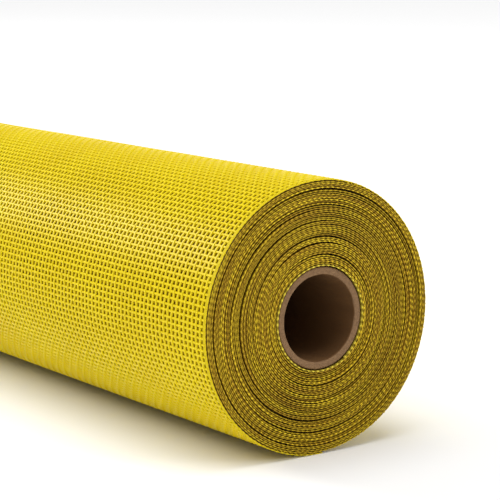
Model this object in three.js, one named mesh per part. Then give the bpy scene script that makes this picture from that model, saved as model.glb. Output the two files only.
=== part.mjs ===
// Roll of vinyl mesh fabric: a web of coated plain-weave mesh wound on a spiral cardboard core.
// Millimetres, +Z up. The roll lies on its side along X; the origin is under its middle, on the floor.
import * as THREE from "three";

// Driving dimensions.
const webWidth = 914.4; // width of the fabric, and so the length of the roll
const turnCount = 44; // turns of fabric on the core
const turnPitch = 0.856; // thickness that each turn adds to the roll's radius
const edgeDepth = 0.8; // depth of the groove between two neighbouring turns at an end
const coreBoreRadius = 19.05; // half of a 38.1 mm core bore
const coreWall = 3.4; // cardboard wall
const coreInset = 0.1; // how far each end of the core lies behind the edge of the fabric
const coreChamfer = 0.2; // worn corner at the core's cut ends
const windingGap = 0.3; // clearance between the core and the first turn
const sides = 32; // flats round each turned surface, a multiple of four

// Sizes worked out from them.
const coreRadius = coreBoreRadius + coreWall;
const boreRadius = coreRadius + windingGap;
const rollRadius = boreRadius + turnCount * turnPitch;
const coreLength = webWidth - 2 * coreInset;

const meshMaterial = new THREE.MeshStandardMaterial({
  color: 0xf0dc28,
  roughness: 0.42,
  metalness: 0,
});
const cardboardMaterial = new THREE.MeshStandardMaterial({
  color: 0x8c735a,
  roughness: 0.9,
  metalness: 0,
});

// A solid turned about X from a closed outline of [radius, distance along the axis] points.
// Each flat touches the true circle, and one flat faces straight down.
function turned(name, outline, material) {
  const toCorner = 1 / Math.cos(Math.PI / sides);
  const points = outline.map(
    ([radius, along]) => new THREE.Vector2(radius * toCorner, along),
  );
  points.push(points[0].clone());
  const geometry = new THREE.LatheGeometry(points, sides, Math.PI / sides);
  const mesh = new THREE.Mesh(geometry, material);
  mesh.name = name;
  mesh.rotation.z = -Math.PI / 2;
  return mesh;
}

// The edges of the turns at one end, from the bore out: a ridge for each turn, with a groove on
// both sides of it. The +X end is made with end = 1 and the other with end = -1.
function turnEdges(end) {
  const ridge = (end * webWidth) / 2;
  const groove = ridge - end * edgeDepth;
  const edges = [[boreRadius, groove]];
  for (let turn = 0; turn < turnCount; turn++) {
    const inside = boreRadius + turn * turnPitch;
    edges.push([inside + turnPitch / 2, ridge]);
    edges.push([inside + turnPitch, groove]);
  }
  return edges;
}

// The wound web, one ring from the first turn to the last.
function woundMesh() {
  const outline = [...turnEdges(-1), ...turnEdges(1).reverse()];
  return turned("mesh_roll", outline, meshMaterial);
}

// The cardboard tube that the web is wound on, open right through.
function coreTube() {
  const end = coreLength / 2;
  const outline = [
    [coreBoreRadius, -end + coreChamfer],
    [coreBoreRadius + coreChamfer, -end],
    [coreRadius, -end],
    [coreRadius, end],
    [coreBoreRadius + coreChamfer, end],
    [coreBoreRadius, end - coreChamfer],
  ];
  return turned("core_tube", outline, cardboardMaterial);
}

const roll = new THREE.Group();
roll.add(woundMesh(), coreTube());
roll.position.z = rollRadius;

const part = new THREE.Group();
part.add(roll);

export default part;
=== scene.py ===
"""A roll of yellow vinyl mesh fabric on its cardboard core, lying on a pale floor."""
import math

import bmesh
import bpy
import numpy as np
from mathutils import Matrix, Vector


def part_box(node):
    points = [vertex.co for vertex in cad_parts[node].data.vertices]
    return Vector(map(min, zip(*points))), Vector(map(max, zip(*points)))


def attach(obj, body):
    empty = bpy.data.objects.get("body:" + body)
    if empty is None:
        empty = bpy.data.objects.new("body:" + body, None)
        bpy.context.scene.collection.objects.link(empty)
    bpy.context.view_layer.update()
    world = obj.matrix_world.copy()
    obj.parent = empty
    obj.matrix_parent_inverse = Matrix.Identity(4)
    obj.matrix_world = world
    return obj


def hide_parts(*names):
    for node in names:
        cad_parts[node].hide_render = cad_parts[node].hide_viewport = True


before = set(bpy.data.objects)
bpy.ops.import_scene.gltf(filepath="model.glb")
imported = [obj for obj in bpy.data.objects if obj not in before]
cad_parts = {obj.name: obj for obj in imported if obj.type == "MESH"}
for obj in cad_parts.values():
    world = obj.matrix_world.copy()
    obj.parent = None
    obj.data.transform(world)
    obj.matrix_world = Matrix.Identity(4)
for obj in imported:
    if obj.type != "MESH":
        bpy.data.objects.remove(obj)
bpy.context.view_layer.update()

# The camera stands at the near end of the roll, a little above it and in front of it, as the photo
# was taken. Its place is counted from the middle of the near end, in roll radii.
LENS_MM = 136.56
SENSOR_MM = 36.0
CLIP_END = 20.0
CAMERA_FROM_END = Vector((10.4246, -8.1909, 2.7129))
CAMERA_RIGHT = Vector((0.5878, 0.8091, 0.0))
CAMERA_UP = Vector((-0.1337, 0.0971, 0.9863))

web_low, web_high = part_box("mesh_roll")
roll_radius = (web_high[2] - web_low[2]) / 2
half_width = web_high[0]
axis_height = roll_radius

camera_data = bpy.data.cameras.new("camera")
camera_data.lens = LENS_MM
camera_data.sensor_width = SENSOR_MM
camera_data.clip_end = CLIP_END
camera = bpy.data.objects.new("camera", camera_data)
bpy.context.scene.collection.objects.link(camera)
right = CAMERA_RIGHT.normalized()
back = right.cross(CAMERA_UP).normalized()
up = back.cross(right)
end_middle = Vector((half_width, 0.0, axis_height))
camera.matrix_world = Matrix.Translation(end_middle + CAMERA_FROM_END * roll_radius) @ Matrix(
    (right, up, back)
).transposed().to_4x4()
bpy.context.scene.camera = camera


# Core tube: a spiral-wound tube of kraft board, sawn square. Its plies show as thin rings on the
# cut ends and as one slanting seam line down the bore. The web is wound straight on to it.
CORE_STEPS_ROUND = 192
BORE_STEPS_ALONG = 40
CORE_WALL = 0.0034
PLY_THICKNESS = 0.00046
SEAM_LEAD = 0.115  # how far the seam runs along the bore in one turn
RIM_CHAMFER = 0.0004
RIM_WEAR = 0.00035  # how far the worn inner corner wanders in and out
RIM_WAVES = range(3, 26)  # the wear is a sum of waves, with these numbers of them round the rim
OUTER_CORNER = 0.0003
OUTER_DROP = 0.00005  # how far the outermost ply's edge lies behind the end
PLY_DIP = 0.00008  # how far every other ply lies behind its neighbours
PLY_WANDER = 0.35  # how far a ply line wanders, in plies
PLY_LINE_HALF = 0.16  # half the width of the line between two plies, in plies
PLY_LINE_SHARE = 0.9
SEAM_HALF = 0.012  # half the width of the seam line, as a share of its lead
SEAM_SHARE = 0.7
# share of the bore's colour given over to painted shade
BORE_PAINTED_SHADE_SHARE = 0.85
PLY_GROOVE = 1.4  # depth of a ply line in the bump, beside the fibres' 1
SEAM_GROOVE = 1.5
BOARD_RELIEF = 0.00012
BOARD_ROUGHNESS = (0.82, 0.97)
BOARD_SPECULAR = 0.2
BOARD_LIGHT = (0.285, 0.168, 0.084, 1.0)
BOARD_DARK = (0.165, 0.092, 0.045, 1.0)
# painted shade: the colour laid inside the bore, where shade falls in the tube
BORE_PAINTED_SHADE = (0.125, 0.056, 0.016, 1.0)
PLY_LINE = (0.20, 0.11, 0.055, 1.0)
SEAM_LINE = (0.05, 0.03, 0.018, 1.0)

core_low, core_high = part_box("core_tube")
core_radius = (core_high[2] - core_low[2]) / 2
core_half = core_high[0]
bore_radius = core_radius - CORE_WALL


def at_angle(x, radius, angle):
    """A point at this angle round the roll: 0 faces the camera's side, 90 degrees is the top."""
    return (x, -radius * math.cos(angle), axis_height + radius * math.sin(angle))


def link(name, mesh, *materials):
    """A piece whose place is in its mesh, with its materials."""
    piece = bpy.data.objects.new(name, mesh)
    bpy.context.scene.collection.objects.link(piece)
    if list(mesh.materials) != list(materials):
        mesh.materials.clear()
        for material in materials:
            mesh.materials.append(material)
    return piece


class Nodes:
    """Short calls for building one node tree from left to right."""

    def __init__(self, tree):
        self.tree = tree

    def feed(self, node, inputs):
        """Links or sets a node's inputs."""
        for key, value in dict(inputs).items():
            if isinstance(value, bpy.types.NodeSocket):
                self.tree.links.new(value, node.inputs[key])
            else:
                node.inputs[key].default_value = value
        return node

    def add(self, kind, inputs=(), **settings):
        node = self.tree.nodes.new(kind)
        for key, value in settings.items():
            setattr(node, key, value)
        return self.feed(node, inputs)

    def math(self, operation, *values, clamp=False):
        node = self.add("ShaderNodeMath", enumerate(values), operation=operation, use_clamp=clamp)
        return node.outputs[0]

    def noise(self, where, scale, detail=2.0, rough=0.5):
        settings = {"Vector": where, "Scale": scale, "Detail": detail, "Roughness": rough}
        return self.add("ShaderNodeTexNoise", settings).outputs["Fac"]

    def between(self, value, low, high, to_low=0.0, to_high=1.0):
        """A value moved from one range to another, and held at its ends."""
        ends = {"Value": value, "From Min": low, "From Max": high, "To Min": to_low, "To Max": to_high}
        return self.add("ShaderNodeMapRange", ends).outputs["Result"]

    def blend(self, factor, first, second):
        """Two colours mixed. Sockets 6 and 7 are a Mix node's two colours."""
        colours = {0: factor, 6: first, 7: second}
        return self.add("ShaderNodeMix", colours, data_type="RGBA").outputs[2]

    def off_middle(self, step):
        """How far a repeating step is from the middle of its own cell, 0 to 0.5."""
        return self.math("ABSOLUTE", self.math("SUBTRACT", self.math("FRACT", step), 0.5))


def new_material(name):
    """A material with a Principled shader, and the calls that add nodes to it."""
    material = bpy.data.materials.new(name)
    material.use_nodes = True
    nodes = Nodes(material.node_tree)
    shader = material.node_tree.nodes["Principled BSDF"]
    return material, nodes, shader


def round_the_axis(nodes):
    """Object coordinates counted from the roll's axis, their three parts, and the radius there."""
    place = nodes.add("ShaderNodeTexCoord").outputs["Object"]
    mapping = nodes.add("ShaderNodeMapping", {"Vector": place, "Location": (0.0, 0.0, -axis_height)})
    where = mapping.outputs["Vector"]
    parts = nodes.add("ShaderNodeSeparateXYZ", {"Vector": where})
    along, across, upward = (parts.outputs[axis] for axis in "XYZ")
    squares = (nodes.math("MULTIPLY", across, across), nodes.math("MULTIPLY", upward, upward))
    radius = nodes.math("SQRT", nodes.math("ADD", *squares))
    return where, along, across, upward, radius


def board_material():
    """Kraft board: brown fibres, ply rings on the cut ends, a seam, and painted shade in the bore."""
    material, nodes, shader = new_material("kraft_board")
    where, along, across, upward, radius = round_the_axis(nodes)
    turn = nodes.math("DIVIDE", nodes.math("ARCTAN2", upward, across), 2 * math.pi)
    fibres = nodes.noise(where, 900.0, 4.0, 0.65)
    mottle = nodes.noise(where, 70.0, 3.0)
    wander = nodes.math("MULTIPLY", nodes.noise(where, 160.0), PLY_WANDER)
    ply = nodes.math("ADD", nodes.math("DIVIDE", radius, PLY_THICKNESS), wander)
    ply_line = nodes.between(nodes.off_middle(ply), 0.5 - PLY_LINE_HALF, 0.5)
    lead = nodes.math("SUBTRACT", nodes.math("DIVIDE", along, SEAM_LEAD), turn)
    seam = nodes.between(nodes.off_middle(lead), SEAM_HALF, 0.0)
    in_bore = nodes.between(radius, bore_radius + 0.0003, bore_radius + 0.0001)
    on_end = nodes.between(nodes.math("ABSOLUTE", along), core_half - 0.0006, core_half - 0.0002)
    colour = nodes.blend(nodes.between(fibres, 0.35, 0.7), BOARD_DARK, BOARD_LIGHT)
    colour = nodes.blend(nodes.between(mottle, 0.3, 0.75, 0.0, 0.5), colour, BOARD_LIGHT)
    lines = nodes.math("MULTIPLY", nodes.math("MULTIPLY", ply_line, on_end), PLY_LINE_SHARE)
    colour = nodes.blend(lines, colour, PLY_LINE)
    # Painted shade: the bore is coloured darker inside the tube.
    colour = nodes.blend(nodes.math("MULTIPLY", in_bore, BORE_PAINTED_SHADE_SHARE), colour, BORE_PAINTED_SHADE)
    seam_shade = nodes.math("MULTIPLY", nodes.math("MULTIPLY", seam, in_bore), SEAM_SHARE)
    colour = nodes.blend(seam_shade, colour, SEAM_LINE)
    height = nodes.math("SUBTRACT", fibres, nodes.math("MULTIPLY", lines, PLY_GROOVE))
    height = nodes.math("SUBTRACT", height, nodes.math("MULTIPLY", seam_shade, SEAM_GROOVE))
    bump = nodes.add("ShaderNodeBump", {"Height": height, "Strength": 0.5, "Distance": BOARD_RELIEF})
    nodes.feed(shader, {
        "Base Color": colour,
        "Roughness": nodes.between(fibres, 0.3, 0.7, *BOARD_ROUGHNESS),
        "Normal": bump.outputs["Normal"],
        "Specular IOR Level": BOARD_SPECULAR,
    })
    return material


def core_mesh():
    """The tube's closed surface: an outline of the wall, turned round the axis, with a worn rim."""
    wear = np.random.default_rng(7)
    waves = [(n, wear.uniform(0, 2 * math.pi), wear.uniform(0.3, 1.0) / n ** 0.6) for n in RIM_WAVES]
    wander = [sum(size * math.cos(n * angle + shift) for n, shift, size in waves)
              for angle in np.linspace(0, 2 * math.pi, CORE_STEPS_ROUND, endpoint=False)]
    wander = np.array(wander) / max(map(abs, wander))
    ply_edges = [bore_radius + RIM_CHAMFER + step * PLY_THICKNESS
                 for step in range(int((CORE_WALL - RIM_CHAMFER) / PLY_THICKNESS) + 1)]
    # Each point of the end's outline: its radius, its place along the axis and its share of the wear.
    end_outline = [(bore_radius, core_half - 2.2 * RIM_CHAMFER, 0.25)]
    end_outline.append((bore_radius + 0.3 * RIM_CHAMFER, core_half - 0.8 * RIM_CHAMFER, 1.0))
    for count, radius in enumerate(ply_edges):
        dip = PLY_DIP if count % 2 else 0.0
        end_outline.append((radius, core_half - dip, 0.8 if count == 0 else 0.15))
    end_outline.append((core_radius - OUTER_CORNER, core_half - OUTER_DROP, 0.1))
    end_outline.append((core_radius, core_half - OUTER_CORNER, 0.0))
    inner = np.linspace(-1, 1, BORE_STEPS_ALONG + 1)[1:-1] * (core_half - 3 * RIM_CHAMFER)
    outline = [(radius, -x, worn) for radius, x, worn in end_outline]
    outline += [(radius, x, worn) for radius, x, worn in reversed(end_outline)]
    outline += [(bore_radius, x, 0.0) for x in reversed(inner)]
    points = []
    for step in range(CORE_STEPS_ROUND):
        angle = 2 * math.pi * step / CORE_STEPS_ROUND
        for radius, x, worn in outline:
            shift = RIM_WEAR * worn * wander[step]
            worn_x = x - math.copysign(abs(shift) * 0.6, x)
            points.append(at_angle(worn_x, radius + shift * 0.7, angle))
    rows = len(outline)
    faces = []
    for step in range(CORE_STEPS_ROUND):
        after = (step + 1) % CORE_STEPS_ROUND
        for row in range(rows):
            following = (row + 1) % rows
            faces.append((step * rows + row, after * rows + row,
                          after * rows + following, step * rows + following))
    mesh = bpy.data.meshes.new("core_board")
    mesh.from_pydata(points, [], faces)
    mesh.shade_smooth()
    return mesh


def close_up(mesh):
    """Merges the doubled points of a closed mesh and turns its faces outwards."""
    edit = bmesh.new()
    edit.from_mesh(mesh)
    bmesh.ops.remove_doubles(edit, verts=edit.verts, dist=1e-6)
    bmesh.ops.recalc_face_normals(edit, faces=edit.faces)
    edit.to_mesh(mesh)
    edit.free()


core_shape = core_mesh()
close_up(core_shape)
core = link("core_board", core_shape, board_material())
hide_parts("core_tube")
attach(core, "root")


# Inner turns: the same web, wound tight under its last turn. Only its mesh pattern shows, through
# the holes of the last turn, with the step where the last turn ends lying on it.
TURNS = 44
WINDING_GAP = 0.0003  # clearance between the core and the first turn
FREE_END_ANGLE = math.radians(268.0)  # where the web ends, held down under the roll
DROP_SHARE = 0.17  # share of a turn, just before the free end, in which the web drops one layer
WEFT_PITCH = 0.00271
WARP_PITCH = 0.00305
INNER_YARN_SHARE = 0.5  # yarn width as a share of its pitch
BODY_RECESS = 0.0026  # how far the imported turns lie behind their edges
BODY_STEPS_ROUND = 240
BODY_CLEARANCE = 0.00005
# Painted shade: the turn below has its yarns coloured darker than the last turn's, and its holes darker
# still.
SHADED_INNER_YARN = (0.46, 0.30, 0.004, 1.0)
HOLE_SHADE = (0.11, 0.060, 0.002, 1.0)
# painted shade deep between the edges of the turns
GROOVE_SHADE = (0.030, 0.015, 0.002, 1.0)
INNER_ROUGHNESS = 0.7
INNER_SPECULAR = 0.15
INNER_RELIEF = 0.0004  # height of the yarns and turns in the bump
INNER_WANDER = 2.5  # how far the yarns below wander out of line, in pitches
INNER_WANDER_SCALE = 14.0
TURN_WANDER = 0.8  # how far the faint line of a turn wanders, in turns

first_radius = core_radius + WINDING_GAP
layer = (roll_radius - first_radius) / TURNS


def web_level(turns):
    """How many layers below the roll's outer face the web lies, this many turns from its free end."""
    whole = np.floor(turns)
    ramp = np.clip(1 + (turns - whole - 1) / DROP_SHARE, 0, 1)
    return np.minimum(whole + ramp ** 2 * (3 - 2 * ramp), TURNS - 1)


def weave_group():
    """Shader group: the pattern of a plain mesh wound round X, as a yarn mask and a height."""
    tree = bpy.data.node_groups.new("wound_weave", "ShaderNodeTree")
    for name, kind in (("Vector", "Vector"), ("Weft Pitch", "Float"), ("Warp Pitch", "Float"),
                       ("Radius", "Float"), ("Yarn Share", "Float")):
        tree.interface.new_socket(name, in_out="INPUT", socket_type="NodeSocket" + kind)
    for name in ("Yarn", "Height"):
        tree.interface.new_socket(name, in_out="OUTPUT", socket_type="NodeSocketFloat")
    nodes = Nodes(tree)
    given = tree.nodes.new("NodeGroupInput").outputs
    parts = nodes.add("ShaderNodeSeparateXYZ", {"Vector": given["Vector"]}).outputs
    arc = nodes.math("MULTIPLY", nodes.math("ARCTAN2", parts["Z"], parts["Y"]), given["Radius"])
    wander = nodes.math("MULTIPLY", nodes.noise(given["Vector"], INNER_WANDER_SCALE), INNER_WANDER)
    half_yarn = nodes.math("MULTIPLY", given["Yarn Share"], 0.5)
    heights = []
    for along, pitch in ((arc, given["Weft Pitch"]), (parts["X"], given["Warp Pitch"])):
        step = nodes.math("ADD", nodes.math("DIVIDE", along, pitch), wander)
        off = nodes.math("DIVIDE", nodes.off_middle(step), half_yarn)
        heights.append(nodes.math("SUBTRACT", 1.0, off, clamp=True))
    height = nodes.math("SQRT", nodes.math("MAXIMUM", *heights))
    result = tree.nodes.new("NodeGroupOutput")
    nodes.feed(result, {"Yarn": nodes.between(height, 0.0, 0.35), "Height": height})
    return tree


def inner_turn_material():
    """The turn below, seen through the holes: the same yellow web, with deep shade painted into its
    colours.
    """
    material, nodes, shader = new_material("inner_turn_vinyl")
    where = round_the_axis(nodes)[0]
    values = {"Vector": where, "Weft Pitch": WEFT_PITCH, "Warp Pitch": WARP_PITCH,
              "Radius": roll_radius - layer, "Yarn Share": INNER_YARN_SHARE}
    pattern = nodes.add("ShaderNodeGroup", node_tree=weave_group())
    nodes.feed(pattern, values)
    height = pattern.outputs["Height"]
    bump = nodes.add("ShaderNodeBump", {"Height": height, "Strength": 0.8, "Distance": INNER_RELIEF})
    nodes.feed(shader, {
        "Base Color": nodes.blend(pattern.outputs["Yarn"], HOLE_SHADE, SHADED_INNER_YARN),
        "Normal": bump.outputs["Normal"],
        "Roughness": INNER_ROUGHNESS,
        "Specular IOR Level": INNER_SPECULAR,
    })
    return material


def packed_end_material():
    """Between the edges of the turns: painted shade, dark, with a faint line for each turn."""
    material, nodes, shader = new_material("packed_turns")
    where, *_, radius = round_the_axis(nodes)
    wander = nodes.math("MULTIPLY", nodes.noise(where, 120.0), TURN_WANDER)
    step = nodes.math("ADD", nodes.math("DIVIDE", radius, layer), wander)
    ridge = nodes.between(nodes.off_middle(step), 0.5, 0.1)
    bump = nodes.add("ShaderNodeBump", {"Height": ridge, "Strength": 0.8, "Distance": INNER_RELIEF})
    nodes.feed(shader, {
        "Base Color": nodes.blend(ridge, GROOVE_SHADE, HOLE_SHADE),
        "Normal": bump.outputs["Normal"],
        "Roughness": INNER_ROUGHNESS,
        "Specular IOR Level": INNER_SPECULAR,
    })
    return material


def inner_turns_mesh():
    """One closed ring: bore, both recessed ends, and an outer face that follows the winding."""
    end = half_width - BODY_RECESS
    points = []
    for step in range(BODY_STEPS_ROUND + 1):
        share = step / BODY_STEPS_ROUND
        outside = roll_radius - layer * (1 + web_level(share)) - BODY_CLEARANCE
        for x, radius in ((-end, first_radius), (-end, outside), (end, outside), (end, first_radius)):
            points.append(at_angle(x, radius, FREE_END_ANGLE + 2 * math.pi * share))
    faces = []
    for step in range(BODY_STEPS_ROUND):
        here, after = 4 * step, 4 * (step + 1)
        for side in range(4):
            following = (side + 1) % 4
            faces.append((here + side, after + side, after + following, here + following))
    last = 4 * BODY_STEPS_ROUND
    faces.append((1, 2, last + 2, last + 1))
    mesh = bpy.data.meshes.new("inner_turns")
    mesh.from_pydata(points, [], faces)
    return mesh


inner_shape = inner_turns_mesh()
close_up(inner_shape)
inner_turns = link("inner_turns", inner_shape, inner_turn_material(), packed_end_material())
for face in inner_shape.polygons:
    face.material_index = 1 if abs(face.normal.x) > 0.5 else 0
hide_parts("mesh_roll")
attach(inner_turns, "root")


# Edges of the turns: at both ends of the roll each turn shows the outer strand of its selvedge,
# which runs over one cross yarn and under the next, and the cut ends of the cross yarns beside it.
# The winding is a spiral, a little uneven, with thin gaps where it was wound slack.
SELVEDGE_INSET = 0.0001  # how far the selvedge lies behind the stated width
SELVEDGE_WIDTH = 0.0018
SELVEDGE_THICKNESS = 0.00036
SELVEDGE_CRIMP = 0.00009
EDGE_TOP_SHARE = 0.9  # width of its outer side as a share of its inner side, pressed nearly square
STUB_WIDTH = 0.0009
STUB_THICKNESS = 0.00032
STUB_REACH = -0.00002  # how far cross yarns stand past the selvedge
STUB_ROOT = 0.0004  # how far they are drawn on inside it
CUT_FRINGE = 0.0009  # how far yarns stand past the last crossing at the free end
WEFT_STRAY = 0.05  # unevenness of the weft's spacing, as a share of its pitch
STEPS_EACH_WEFT = 2
STUB_SIZES = ((0.88, 0.8, 0.85), (1.05, 1.1, 1.1))  # smallest and largest cut end, as shares
SLACK_REACH_TURNS = 5.0  # how many turns on each side give way to a gap
OUTER_TURNS = 3.0  # a gap in these outer turns opens more by its inner side than by its outer side
EDGE_WAVE = 0.00014  # how far a turn's edge wanders in radius
EDGE_RIPPLE = 0.00003
RIPPLES_ROUND = 23
EDGE_DRIFT = 0.00034  # how far it drifts along the axis
EDGE_SHIVER = 0.00008
PROUD_TURN = 0.0006  # how far the proudest stretches stand out
FIRST_TURN_PROUD = 0.0007  # how far the first turn, on the core, stands out
OPEN_TURN_SWING = 0.6  # extra swing of the outermost turn's selvedge, which nothing presses flat
CREASE_ANGLE = math.radians(30.0)
VINYL = (0.83, 0.655, 0.004, 1.0)
VINYL_DEEP = (0.79, 0.60, 0.003, 1.0)
VINYL_PALE = (0.93, 0.80, 0.05, 1.0)
EDGE_VINYL = (0.91, 0.66, 0.031, 1.0)
EDGE_DEEP = (0.49, 0.27, 0.022, 1.0)
EDGE_PALE = (0.84, 0.68, 0.07, 1.0)
EDGE_SHADE = (0.11, 0.050, 0.004, 1.0)  # painted shade between the turns
# Painted shade: the edges are coloured darker the further they lie behind the end.
EDGE_SHADE_DEPTH = 0.0008
EDGE_SHADE_SHARE = 0.92
BETWEEN_SHADE = 0.7  # how dark the strand is painted between two cross yarns, as painted shade where it dips
OUTMOST_SHADE = 0.25  # share of these painted shades that is left on the outermost turn, which lies open
DULL_SHARE = 0.75
DULL_TURNS = 1.3  # turns from one dull edge to the next
DULL_STRETCH = 1.4  # how many dull stretches there are in one radian
VINYL_ROUGHNESS = (0.33, 0.48)
EDGE_ROUGHNESS = (0.5, 0.7)
VINYL_SPECULAR = 0.11
VINYL_RELIEF = 0.0001
VINYL_GLOSS = (1.0, 0.9, 0.55, 1.0)
# Gaps seen at the near end: share of the roll's radius, middle and span in degrees, width.
NEAR_GAPS = (
    (0.986, 30.0, 230.0, 0.00040),
    (0.926, 75.0, 300.0, 0.00085),
    (0.950, 235.0, 120.0, 0.00045),
    (0.900, 160.0, 110.0, 0.00060),
    (0.873, 190.0, 170.0, 0.00055),
    (0.842, 262.0, 110.0, 0.00055),
    (0.816, 60.0, 130.0, 0.00055),
    (0.800, 185.0, 100.0, 0.00050),
    (0.781, 48.0, 90.0, 0.00070),
    (0.742, 300.0, 130.0, 0.00050),
    (0.712, 205.0, 120.0, 0.00050),
    (0.697, 20.0, 150.0, 0.00060),
    (0.640, 170.0, 140.0, 0.00050),
    (0.598, 225.0, 110.0, 0.00050),
    (0.585, 85.0, 160.0, 0.00055),
    (0.540, 70.0, 80.0, 0.00060),
    (0.500, 250.0, 140.0, 0.00050),
    (0.455, 120.0, 140.0, 0.00050),
)

middle_radius = roll_radius - layer / 2
selvedge_x = half_width - SELVEDGE_INSET - SELVEDGE_WIDTH / 2
fine_wound = np.linspace(0, 2 * math.pi * (TURNS - DROP_SHARE / 2), 360 * TURNS)
fine_radius = middle_radius - layer * web_level(fine_wound / (2 * math.pi))
fine_length = np.concatenate(
    [[0.0], np.cumsum((fine_radius[1:] + fine_radius[:-1]) / 2 * np.diff(fine_wound))]
)


def wound_after(length):
    """Winding angle from the free end inwards, after this much web."""
    return np.interp(length, fine_length, fine_wound)


def weft_places():
    """Web length at every weft yarn, from the free end in, with the small strays of the weaving."""
    count = int(fine_length[-1] / WEFT_PITCH)
    stray = np.random.default_rng(5).normal(0.0, WEFT_STRAY, count).cumsum()
    places = CUT_FRINGE + WEFT_PITCH * (np.arange(count) + stray)
    return places[(places >= CUT_FRINGE) & (places < fine_length[-1])]


def crossings(places, steps_each=1, first=0):
    """Web lengths at these weft yarns and between, with +1 where over one and -1 where under."""
    step = np.arange((len(places) - 1) * steps_each + 1) / steps_each
    lengths = np.interp(step, np.arange(len(places)), places)
    return lengths, np.cos(math.pi * (step + first))


def web_path(name, lengths, over, shift=0.0, along=0.0):
    """A chain of edges along the wound web, with its crossings and its outward way as attributes."""
    wound = wound_after(lengths)
    angle = FREE_END_ANGLE + wound
    radius = middle_radius - layer * web_level(wound / (2 * math.pi)) + shift
    outward = np.stack([np.zeros_like(angle), -np.cos(angle), np.sin(angle)], axis=1)
    points = outward * np.reshape(radius, (-1, 1)) + [0.0, 0.0, axis_height]
    points[:, 0] = along
    mesh = bpy.data.meshes.new(name)
    mesh.from_pydata(points.tolist(), [(step, step + 1) for step in range(len(points) - 1)], [])
    mesh.attributes.new("over", "FLOAT", "POINT").data.foreach_set("value", over)
    mesh.attributes.new("outward", "FLOAT_VECTOR", "POINT").data.foreach_set("vector", outward.ravel())
    return mesh


def gap_shift(turns, gaps):
    """How far each place on the web is pushed out or in by the gaps between turns."""
    shift = np.zeros_like(turns)
    for share, middle_deg, span_deg, width in gaps:
        part = ((math.radians(middle_deg) - FREE_END_ANGLE) / (2 * math.pi)) % 1.0
        middle = round((1 - share) * roll_radius / layer - 1) + part
        outside = np.round(middle - turns)
        level = turns + outside
        half_span = span_deg / 360 / 2
        window = np.sqrt(np.clip(1 - np.abs(level - middle) / half_span, 0, 1))
        out_reach = np.clip(level, 0.5, SLACK_REACH_TURNS)
        in_reach = np.clip(TURNS - 1 - level, 0.5, SLACK_REACH_TURNS)
        pushed_out = np.clip(1 - outside / out_reach, 0, 1) * (outside >= 0)
        pushed_in = np.clip(1 + (outside + 1) / in_reach, 0, 1) * (outside < 0)
        out_share = np.clip(middle / OUTER_TURNS, 0, 1) / 2
        shift += width * window * (pushed_out * out_share - pushed_in * (1 - out_share))
    return shift


def smooth_random(turns, step, seed):
    """A random curve between -1 and 1, with one free value every so many turns."""
    knots = np.arange(0, TURNS + 3, step)
    values = np.random.default_rng(seed).uniform(-1, 1, len(knots))
    return np.interp(turns, knots, values)


def edge_path(name, end, places, gaps, seed):
    """The middle line of the selvedge strand at one end, with the unevenness of the winding."""
    lengths, over = crossings(places, STEPS_EACH_WEFT)
    lengths = np.concatenate([[0.0], lengths])
    over = np.concatenate([[0.0], over])
    turns = wound_after(lengths) / (2 * math.pi)
    over *= 1 + OPEN_TURN_SWING * np.clip(1.4 - turns, 0, 1)
    angle = 2 * math.pi * turns
    settled = np.clip(turns - 1, 0, 3) / 3 * np.clip(TURNS - turns, 0, 2) / 2
    wave = EDGE_WAVE * smooth_random(turns, 0.37, seed + 1)
    ripple_phase = 6 * smooth_random(turns, 1.1, seed + 2)
    wave += EDGE_RIPPLE * np.sin(RIPPLES_ROUND * angle + ripple_phase)
    drift = EDGE_DRIFT * smooth_random(turns, 0.45, seed + 3)
    drift += EDGE_SHIVER * smooth_random(turns, 0.11, seed + 4)
    proud = PROUD_TURN * np.clip(smooth_random(turns, 0.9, seed + 5) - 0.4, 0, 1) / 0.6
    first = FIRST_TURN_PROUD * np.clip((turns - TURNS + 1.4) / 0.2, 0, 1)
    shift = gap_shift(turns, gaps) + wave * settled
    along = selvedge_x + (drift + proud) * settled + first
    return web_path(name, lengths, over, shift, end * along)


def geometry_tree(name, inputs):
    """A Geometry Nodes tree with named inputs, with its calls and its inputs."""
    tree = bpy.data.node_groups.new(name, "GeometryNodeTree")
    tree.interface.new_socket("Geometry", in_out="OUTPUT", socket_type="NodeSocketGeometry")
    for label, kind in (("Geometry", "Geometry"), *inputs):
        tree.interface.new_socket(label, in_out="INPUT", socket_type="NodeSocket" + kind)
    return tree, Nodes(tree), tree.nodes.new("NodeGroupInput").outputs


def finish_tree(nodes, geometry, crease, vinyl):
    """Realizes the instances, smooths all but the long corners of each yarn, and sets its material."""
    real = nodes.add("GeometryNodeRealizeInstances", {"Geometry": geometry}).outputs[0]
    smooth = nodes.add("GeometryNodeSetShadeSmooth", {"Geometry": real}).outputs[0]
    bend = nodes.add("GeometryNodeInputMeshEdgeAngle").outputs["Unsigned Angle"]
    sharp = nodes.math("GREATER_THAN", bend, crease)
    creased = nodes.add(
        "GeometryNodeSetShadeSmooth", {"Geometry": smooth, "Selection": sharp, "Shade Smooth": False},
        domain="EDGE",
    ).outputs[0]
    painted = nodes.add("GeometryNodeSetMaterial", {"Geometry": creased, "Material": vinyl}).outputs[0]
    nodes.feed(nodes.tree.nodes.new("NodeGroupOutput"), {"Geometry": painted})


def named(nodes, name, kind):
    """The value of one of the path's attributes."""
    reader = nodes.add("GeometryNodeInputNamedAttribute", {"Name": name}, data_type=kind)
    return reader.outputs["Attribute"]


def scaled(nodes, way, factor):
    node = nodes.add("ShaderNodeVectorMath", {"Vector": way, "Scale": factor}, operation="SCALE")
    return node.outputs["Vector"]


def vector(nodes, x=0.0, y=0.0, z=0.0):
    return nodes.add("ShaderNodeCombineXYZ", {"X": x, "Y": y, "Z": z}).outputs[0]


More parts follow.
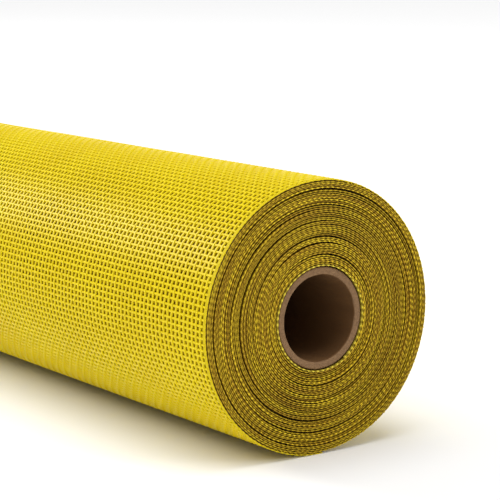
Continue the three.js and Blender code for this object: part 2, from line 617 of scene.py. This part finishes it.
def sweep(nodes, path, outward, width, thickness, top_share):
    """One closed yarn along a path: a flattened section with its narrower side outward."""
    curve = nodes.add("GeometryNodeMeshToCurve", {"Mesh": path}).outputs[0]
    faced = nodes.add("GeometryNodeSetCurveNormal", {"Curve": curve, "Normal": outward}, mode="FREE")
    top = nodes.math("MULTIPLY", width, top_share)
    section = nodes.add(
        "GeometryNodeCurvePrimitiveQuadrilateral",
        {"Height": thickness, "Bottom Width": width, "Top Width": top, "Offset": 0.0}, mode="TRAPEZOID",
    )
    turned = nodes.add(
        "GeometryNodeTransform", {"Geometry": section.outputs[0], "Rotation": (0.0, 0.0, -math.pi / 2)}
    )
    swept = {"Curve": faced.outputs[0], "Profile Curve": turned.outputs[0], "Fill Caps": True}
    return nodes.add("GeometryNodeCurveToMesh", swept).outputs[0]


def swung(nodes, path, outward, amount):
    """The path swung out and in at its crossings."""
    over = named(nodes, "over", "FLOAT")
    offset = scaled(nodes, outward, nodes.math("MULTIPLY", over, amount))
    return nodes.add("GeometryNodeSetPosition", {"Geometry": path, "Offset": offset}).outputs[0]


def at_crossings(nodes, path, instance, outward, selection, **more):
    """A copy of the instance at each chosen crossing, with its Z turned outward about X."""
    turned = nodes.add(
        "FunctionNodeAlignRotationToVector", {"Vector": outward}, axis="Z", pivot_axis="X"
    ).outputs[0]
    values = {"Points": path, "Instance": instance, "Selection": selection, "Rotation": turned}
    values.update(more)
    return nodes.add("GeometryNodeInstanceOnPoints", values).outputs[0]


def turn_edge_tree():
    """Selvedge strand along the winding, with a cut yarn end at each crossing."""
    tree, nodes, given = geometry_tree("turn_edges", (
        ("Crimp", "Float"), ("Strand Width", "Float"), ("Strand Thickness", "Float"),
        ("Stub Width", "Float"), ("Stub Thickness", "Float"), ("Stub Start", "Float"),
        ("Stub Reach", "Float"), ("Top Share", "Float"), ("Crease Angle", "Float"),
        ("Seed", "Int"), ("Vinyl", "Material"),
    ))
    outward = named(nodes, "outward", "FLOAT_VECTOR")
    path = given["Geometry"]
    out_path = swung(nodes, path, outward, given["Crimp"])
    strand = sweep(
        nodes, out_path, outward, given["Strand Width"], given["Strand Thickness"], given["Top Share"]
    )
    line = nodes.add("GeometryNodeMeshLine", {
        "Count": 2, "Start Location": vector(nodes, given["Stub Start"]),
        "Offset": vector(nodes, given["Stub Reach"]),
    }).outputs[0]
    stub = sweep(
        nodes, line, (0.0, 0.0, 1.0), given["Stub Width"], given["Stub Thickness"], given["Top Share"]
    )
    in_path = swung(nodes, path, outward, nodes.math("MULTIPLY", given["Crimp"], -1.0))
    over = nodes.math("ABSOLUTE", named(nodes, "over", "FLOAT"))
    crossing = nodes.math("GREATER_THAN", over, 0.5)
    size = nodes.add(
        "FunctionNodeRandomValue", {0: STUB_SIZES[0], 1: STUB_SIZES[1], "Seed": given["Seed"]},
        data_type="FLOAT_VECTOR",
    ).outputs[0]
    stubs = at_crossings(nodes, in_path, stub, outward, crossing, Scale=size)
    joined = nodes.add("GeometryNodeJoinGeometry")
    tree.links.new(strand, joined.inputs[0])
    tree.links.new(stubs, joined.inputs[0])
    finish_tree(nodes, joined.outputs[0], given["Crease Angle"], given["Vinyl"])
    return tree


def grown(name, path, tree, values, spent=("over", "outward")):
    """A plain mesh made by running a Geometry Nodes tree on a path, without the spent attributes."""
    source = bpy.data.objects.new(name + "_source", path)
    bpy.context.scene.collection.objects.link(source)
    modifier = source.modifiers.new("grow", "NODES")
    modifier.node_group = tree
    for socket in tree.interface.items_tree:
        if socket.in_out == "INPUT" and socket.name in values:
            modifier[socket.identifier] = values[socket.name]
    ready = source.evaluated_get(bpy.context.evaluated_depsgraph_get())
    result = bpy.data.meshes.new_from_object(ready)
    result.name = name
    for attribute in [a.name for a in result.attributes if a.name in spent]:
        result.attributes.remove(result.attributes[attribute])
    bpy.data.objects.remove(source)
    return result


def web_piece(name, mesh, material):
    """A piece of the wound web."""
    piece = link(name, mesh, material)
    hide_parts("mesh_roll")
    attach(piece, "root")
    return piece


def coating_group():
    """Shader group: the mottle and fine grain of a PVC coating, as a colour and a grain height."""
    tree = bpy.data.node_groups.new("vinyl_coating", "ShaderNodeTree")
    for name, kind in (("Vector", "Vector"), ("Colour", "Color"), ("Deep", "Color"), ("Pale", "Color")):
        tree.interface.new_socket(name, in_out="INPUT", socket_type="NodeSocket" + kind)
    for name, kind in (("Colour", "Color"), ("Grain", "Float")):
        tree.interface.new_socket(name, in_out="OUTPUT", socket_type="NodeSocket" + kind)
    nodes = Nodes(tree)
    given = tree.nodes.new("NodeGroupInput").outputs
    cloud = nodes.noise(given["Vector"], 30.0, 2.0)
    grain = nodes.noise(given["Vector"], 1400.0, 3.0, 0.6)
    colour = nodes.blend(nodes.between(cloud, 0.3, 0.7), given["Colour"], given["Deep"])
    colour = nodes.blend(nodes.between(grain, 0.45, 0.8, 0.0, 0.3), colour, given["Pale"])
    nodes.feed(tree.nodes.new("NodeGroupOutput"), {"Colour": colour, "Grain": grain})
    return tree


def vinyl_material(name, coating, colours, shine, tint=None):
    """PVC-coated yarn: clear yellow, satin, a little mottled, with a fine grain."""
    material, nodes, shader = new_material(name)
    group = nodes.add("ShaderNodeGroup", node_tree=coating)
    nodes.feed(group, dict(zip(("Colour", "Deep", "Pale"), colours), Vector=round_the_axis(nodes)[0]))
    grain = group.outputs["Grain"]
    colour = group.outputs["Colour"]
    bump = nodes.add("ShaderNodeBump", {"Height": grain, "Strength": 0.35, "Distance": VINYL_RELIEF})
    nodes.feed(shader, {
        "Base Color": tint(nodes, colour) if tint else colour,
        "Roughness": nodes.between(grain, 0.3, 0.7, *shine),
        "Normal": bump.outputs["Normal"],
        "Specular IOR Level": VINYL_SPECULAR,
        "Specular Tint": VINYL_GLOSS,
    })
    return material


def edge_tint(nodes, colour):
    """Edges of the turns: dull by stretches, with painted shade behind the edge and between cross
    yarns, and the first turn painted paler as painted light.
    """
    _, along, across, upward, radius = round_the_axis(nodes)
    ring = nodes.add("ShaderNodeCombineXYZ", {
        "X": nodes.math("DIVIDE", radius, DULL_TURNS * layer),
        "Y": nodes.math("MULTIPLY", nodes.math("DIVIDE", across, radius), DULL_STRETCH),
        "Z": nodes.math("MULTIPLY", nodes.math("DIVIDE", upward, radius), DULL_STRETCH),
    }).outputs[0]
    dull = nodes.between(nodes.noise(ring, 1.0, 2.0, 0.6), 0.38, 0.62, 0.0, DULL_SHARE)
    inmost = nodes.between(radius, first_radius + 1.1 * layer, first_radius + 0.8 * layer)
    outmost = nodes.between(radius, roll_radius - 0.6 * layer, roll_radius - 0.4 * layer)
    over = nodes.add("ShaderNodeAttribute", attribute_name="over").outputs["Fac"]
    # Painted shade: darker between cross yarns and the further an edge lies behind the end, with less
    # of it on the open outermost turn.
    between_yarns_shade = nodes.between(nodes.math("ABSOLUTE", over), 0.2, 0.9, BETWEEN_SHADE, 0.0)
    behind = nodes.math("SUBTRACT", half_width, nodes.math("ABSOLUTE", along))
    depth_shade = nodes.between(behind, -0.0003, EDGE_SHADE_DEPTH, 0.0, EDGE_SHADE_SHARE)
    shade = nodes.math("MAXIMUM", depth_shade, between_yarns_shade)
    shade = nodes.math("MULTIPLY", shade, nodes.between(outmost, 0.0, 1.0, 1.0, OUTMOST_SHADE))
    colour = nodes.blend(dull, colour, EDGE_DEEP)
    # Painted light: the first turn, on the core, is coloured paler and never dull, as it stands proud
    # and catches the light.
    colour = nodes.blend(inmost, colour, EDGE_PALE)
    colour = nodes.blend(outmost, colour, VINYL)
    return nodes.blend(shade, colour, EDGE_SHADE)


coating = coating_group()
vinyl = vinyl_material("yellow_vinyl", coating, (VINYL, VINYL_DEEP, VINYL_PALE), VINYL_ROUGHNESS)
edge_colours = (EDGE_VINYL, EDGE_VINYL, EDGE_PALE)
edge_vinyl = vinyl_material("cut_edge_vinyl", coating, edge_colours, EDGE_ROUGHNESS, edge_tint)
places = weft_places()
edge_tree = turn_edge_tree()
rng = np.random.default_rng(21)
far_gaps = [(share, rng.uniform(0, 360), rng.uniform(80, 240), rng.uniform(0.0004, 0.0007))
            for share in np.linspace(0.93, 0.44, 10)]
for name, end, gaps, seed in (("near_turn_edges", 1, NEAR_GAPS, 40),
                              ("far_turn_edges", -1, far_gaps, 60)):
    path = edge_path(name + "_path", end, places, gaps, seed)
    values = {"Crimp": SELVEDGE_CRIMP, "Strand Width": SELVEDGE_WIDTH,
              "Strand Thickness": SELVEDGE_THICKNESS, "Stub Width": STUB_WIDTH,
              "Stub Thickness": STUB_THICKNESS, "Stub Start": -end * STUB_ROOT,
              "Stub Reach": end * (STUB_ROOT + SELVEDGE_WIDTH / 2 + STUB_REACH),
              "Top Share": EDGE_TOP_SHARE, "Crease Angle": CREASE_ANGLE, "Seed": seed,
              "Vinyl": edge_vinyl}
    web_piece(name, grown(name, path, edge_tree, values, spent=("outward",)), edge_vinyl)


# Last turn: the one turn of web that shows all round, woven for real. Warp yarns run round the
# roll and weft yarns run along it, each over one and under the next, fused where they cross.
LAST_TURN_TUCK = 0.16  # radians of web shown running on under the free end
WARP_GAPS = 298  # spaces between warp yarns across the web, an even number
YARN_THICKNESS = 0.00046
YARN_TOP_SHARE = 0.62  # width of a yarn's flattened top, as a share of its whole width
WARP_WIDTH = 0.00144
WEFT_WIDTH = 0.00112
WEFT_END_SWING = 0.55  # swing of a weft yarn in the selvedge, as a share of its swing elsewhere
WANDER_SCALE = 22.0
WANDER_SIZE = 0.00030


def wandered(nodes, geometry, scale, size):
    """The yarns drawn a little out of line, all by the same slow noise."""
    noise = nodes.add("ShaderNodeTexNoise", {"Scale": scale, "Detail": 1.0})
    centred = nodes.add(
        "ShaderNodeVectorMath", {0: noise.outputs["Color"], 1: (0.5, 0.5, 0.5)}, operation="SUBTRACT"
    ).outputs[0]
    offset = scaled(nodes, centred, size)
    return nodes.add("GeometryNodeSetPosition", {"Geometry": geometry, "Offset": offset}).outputs[0]


YARN_INPUTS = (
    ("Crimp", "Float"), ("Yarn Width", "Float"), ("Yarn Thickness", "Float"), ("Top Share", "Float"),
    ("First", "Float"), ("Pitch", "Float"), ("Count", "Int"), ("Wander Scale", "Float"),
    ("Wander Size", "Float"), ("Crease Angle", "Float"), ("Vinyl", "Material"),
)


def warp_tree():
    """Yarns round the roll: two phases of one swept yarn, set side by side along X."""
    tree, nodes, given = geometry_tree("warp_yarns", YARN_INPUTS)
    outward = named(nodes, "outward", "FLOAT_VECTOR")
    joined = nodes.add("GeometryNodeJoinGeometry")
    for phase, sign in ((0.0, 1.0), (1.0, -1.0)):
        path = swung(nodes, given["Geometry"], outward, nodes.math("MULTIPLY", given["Crimp"], sign))
        yarn = sweep(
            nodes, path, outward, given["Yarn Width"], given["Yarn Thickness"], given["Top Share"]
        )
        start = nodes.math("ADD", given["First"], nodes.math("MULTIPLY", given["Pitch"], phase))
        left = nodes.math("SUBTRACT", given["Count"], phase)
        line = nodes.add("GeometryNodeMeshLine", {
            "Count": nodes.math("CEIL", nodes.math("DIVIDE", left, 2.0)),
            "Start Location": vector(nodes, start),
            "Offset": vector(nodes, nodes.math("MULTIPLY", given["Pitch"], 2.0)),
        }).outputs[0]
        row = nodes.add("GeometryNodeInstanceOnPoints", {"Points": line, "Instance": yarn}).outputs[0]
        tree.links.new(row, joined.inputs[0])
    real = nodes.add("GeometryNodeRealizeInstances", {"Geometry": joined.outputs[0]}).outputs[0]
    moved = wandered(nodes, real, given["Wander Scale"], given["Wander Size"])
    finish_tree(nodes, moved, given["Crease Angle"], given["Vinyl"])
    return tree


def weft_tree():
    """Yarns along the roll: a zigzag yarn in two phases, one at each crossing of the path."""
    tree, nodes, given = geometry_tree("weft_yarns", (*YARN_INPUTS, ("End Swing", "Float")))
    outward = named(nodes, "outward", "FLOAT_VECTOR")
    over = named(nodes, "over", "FLOAT")
    joined = nodes.add("GeometryNodeJoinGeometry")
    line = nodes.add("GeometryNodeMeshLine", {
        "Count": given["Count"], "Start Location": vector(nodes, given["First"]),
        "Offset": vector(nodes, given["Pitch"]),
    }).outputs[0]
    index = nodes.add("GeometryNodeInputIndex").outputs[0]
    odd = nodes.math("MODULO", index, 2.0)
    swing = nodes.math("SUBTRACT", nodes.math("MULTIPLY", odd, 2.0), 1.0)
    last = nodes.math("SUBTRACT", given["Count"], 1.5)
    within = nodes.math("MULTIPLY", nodes.math("GREATER_THAN", index, 0.5),
                        nodes.math("LESS_THAN", index, last))
    calmed = nodes.between(within, 0.0, 1.0, given["End Swing"], 1.0)
    swing = nodes.math("MULTIPLY", swing, calmed)
    for sign in (1.0, -1.0):
        height = nodes.math("MULTIPLY", nodes.math("MULTIPLY", swing, given["Crimp"]), sign)
        zigzag = nodes.add(
            "GeometryNodeSetPosition", {"Geometry": line, "Offset": vector(nodes, 0.0, 0.0, height)}
        ).outputs[0]
        yarn = sweep(
            nodes, zigzag, (0.0, 0.0, 1.0), given["Yarn Width"], given["Yarn Thickness"],
            given["Top Share"],
        )
        chosen = nodes.math("GREATER_THAN", nodes.math("MULTIPLY", over, sign), 0.5)
        row = at_crossings(nodes, given["Geometry"], yarn, outward, chosen)
        tree.links.new(row, joined.inputs[0])
    real = nodes.add("GeometryNodeRealizeInstances", {"Geometry": joined.outputs[0]}).outputs[0]
    moved = wandered(nodes, real, given["Wander Scale"], given["Wander Size"])
    finish_tree(nodes, moved, given["Crease Angle"], given["Vinyl"])
    return tree


crimp = (layer - YARN_THICKNESS) / 2
warp_pitch = 2 * selvedge_x / WARP_GAPS
half_gaps = WARP_GAPS // 2
last_places = places[wound_after(places) < 2 * math.pi + LAST_TURN_TUCK]
last_lengths, last_over = crossings(last_places)
fringed_lengths = np.concatenate([[0.0], last_lengths])
fringed_over = np.concatenate([[0.0], last_over])
yarn_values = {"Crimp": crimp, "Yarn Thickness": YARN_THICKNESS, "Top Share": YARN_TOP_SHARE,
               "Pitch": warp_pitch, "Wander Scale": WANDER_SCALE, "Wander Size": WANDER_SIZE,
               "Crease Angle": CREASE_ANGLE, "Vinyl": vinyl}

warps = warp_tree()
for name, first, count in (("warp_yarns_far", 1, half_gaps),
                           ("warp_yarns_near", half_gaps + 1, half_gaps - 1)):
    path = web_path(name + "_path", fringed_lengths, fringed_over * (-1.0 if first % 2 else 1.0))
    values = dict(yarn_values, First=first * warp_pitch - selvedge_x, Count=count)
    values["Yarn Width"] = WARP_WIDTH
    web_piece(name, grown(name, path, warps, values), vinyl)

wefts = weft_tree()
half_turn = len(last_places) // 2
for name, first, last in (("weft_yarns_front", 0, half_turn), ("weft_yarns_back", half_turn, None)):
    path = web_path(name + "_path", *crossings(last_places[first:last], first=first))
    values = dict(yarn_values, First=-selvedge_x, Count=WARP_GAPS + 1)
    values["Yarn Width"] = WEFT_WIDTH
    values["End Swing"] = WEFT_END_SWING
    web_piece(name, grown(name, path, wefts, values), vinyl)


# Studio: a plain pale floor under an even overhead light. A soft light stands high on the camera's
# left, towards the far end, and a weak one on its right, before the near end, which stays darker.
KEY_FROM = Vector((-0.77, -0.42, 0.50))
LIGHT_DISTANCE = 3.0
KEY_SIZE = 1.3
KEY_POWER = 58.0
FILL_FROM = Vector((0.85, 0.50, 0.32))
FILL_SIZE = 1.2
FILL_POWER = 22.0
OVERHEAD_STRENGTH = 1.75
OVERHEAD_SPREAD = math.radians(50.0)
SURROUND = 0.42  # strength of the even white light from all round
BACKDROP = 1.05  # what the camera sees of the surround
FLOOR_HALF = 6.0
FLOOR_WHITE = (0.97, 0.97, 0.97, 1.0)
FLOOR_ROUGHNESS = 0.9

floor_mesh = bpy.data.meshes.new("floor")
floor_corners = [(x * FLOOR_HALF, y * FLOOR_HALF, 0.0) for x, y in ((-1, -1), (1, -1), (1, 1), (-1, 1))]
floor_mesh.from_pydata(floor_corners, [], [(0, 1, 2, 3)])
floor_material, floor_nodes, floor_shader = new_material("pale_floor")
floor_nodes.feed(floor_shader, {"Base Color": FLOOR_WHITE, "Roughness": FLOOR_ROUGHNESS})
floor = link("floor", floor_mesh, floor_material)

world = bpy.data.worlds.new("studio")
world.use_nodes = True
sky = Nodes(world.node_tree)
seen = sky.add("ShaderNodeLightPath").outputs["Is Camera Ray"]
sky.feed(world.node_tree.nodes["Background"], {
    "Color": (1.0, 1.0, 1.0, 1.0),
    "Strength": sky.between(seen, 0.0, 1.0, SURROUND, BACKDROP),
})
bpy.context.scene.world = world
bpy.context.scene.view_settings.view_transform = "Standard"

for name, direction, size, power in (("key", KEY_FROM, KEY_SIZE, KEY_POWER),
                                     ("fill", FILL_FROM, FILL_SIZE, FILL_POWER)):
    light_data = bpy.data.lights.new(name, "AREA")
    light_data.shape = "DISK"
    light_data.size = size
    light_data.energy = power
    light = bpy.data.objects.new(name, light_data)
    light.location = Vector((0.0, 0.0, axis_height)) + direction.normalized() * LIGHT_DISTANCE
    light.rotation_euler = direction.to_track_quat("Z", "Y").to_euler()
    bpy.context.scene.collection.objects.link(light)

overhead_data = bpy.data.lights.new("overhead", "SUN")
overhead_data.energy = OVERHEAD_STRENGTH
overhead_data.angle = OVERHEAD_SPREAD
overhead = bpy.data.objects.new("overhead", overhead_data)
bpy.context.scene.collection.objects.link(overhead)
